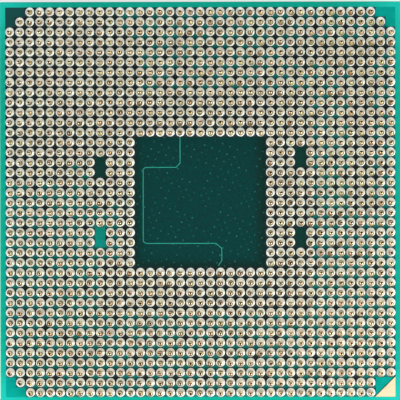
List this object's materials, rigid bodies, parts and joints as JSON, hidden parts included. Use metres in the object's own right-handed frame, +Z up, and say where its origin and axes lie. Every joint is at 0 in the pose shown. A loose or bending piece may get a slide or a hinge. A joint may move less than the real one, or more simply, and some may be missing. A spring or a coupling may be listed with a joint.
{
  "type": "computer processor",
  "caption": "Square pin grid array processor package: green substrate with gold pins round an empty middle window, and a flat nickel lid over the die",
  "frame": {"origin": "middle of the lid's flat outer face, on which the part lies", "axes": "+Z up, square to the substrate and along the pins; +X to the side of the marked corner and +Y to the back, as the picture's right and top"},
  "size_m": [0.04, 0.04, 0.0064],
  "materials": {
    "solder_mask": "satin green-blue solder mask",
    "gold_plate": "bright gold plate",
    "pin_solder": "bright solder",
    "nickel_plate": "satin nickel plate",
    "sealant": "matte black",
    "silicon": "polished grey",
    "thermal_solder": "dull solder",
    "underfill": "dark epoxy",
    "capacitor_ceramic": "matte ceramic",
    "tin_plate": "tin plate"
  },
  "bodies": {
    "root": {"substrate": "solder_mask", "pin_side_mark": "gold_plate", "lid_side_mark": "gold_plate", "lid": "nickel_plate", "lid_sealant": "sealant", "die": "silicon", "thermal_interface": "thermal_solder", "underfill": "underfill", "capacitor_bodies": "capacitor_ceramic", "capacitor_ends": "tin_plate", "pins_row_a": "gold_plate", "pins_row_b": "gold_plate", "pins_row_c": "gold_plate", "pins_row_d": "gold_plate", "pins_row_e": "gold_plate", "pins_row_f": "gold_plate", "pins_row_g": "gold_plate", "pins_row_h": "gold_plate", "pins_row_j": "gold_plate", "pins_row_k": "gold_plate", "pins_row_l": "gold_plate", "pins_row_m": "gold_plate", "pins_row_n": "gold_plate", "pins_row_p": "gold_plate", "pins_row_r": "gold_plate", "pins_row_t": "gold_plate", "pins_row_u": "gold_plate", "pins_row_v": "gold_plate", "pins_row_w": "gold_plate", "pins_row_y": "gold_plate", "pins_row_aa": "gold_plate", "pins_row_ab": "gold_plate", "pins_row_ac": "gold_plate", "pins_row_ad": "gold_plate", "pins_row_ae": "gold_plate", "pins_row_af": "gold_plate", "pins_row_ag": "gold_plate", "pins_row_ah": "gold_plate", "pins_row_aj": "gold_plate", "pins_row_ak": "gold_plate", "pins_row_al": "gold_plate", "pins_row_am": "gold_plate", "pins_row_an": "gold_plate", "pins_row_ap": "gold_plate", "pins_row_ar": "gold_plate", "pins_row_at": "gold_plate", "pins_row_au": "gold_plate", "pins_row_av": "gold_plate", "pins_row_aw": "gold_plate", "solder_feet_back": "pin_solder", "solder_feet_front": "pin_solder", "solder_feet_left": "pin_solder", "solder_feet_right": "pin_solder"}
  },
  "joints": []
}
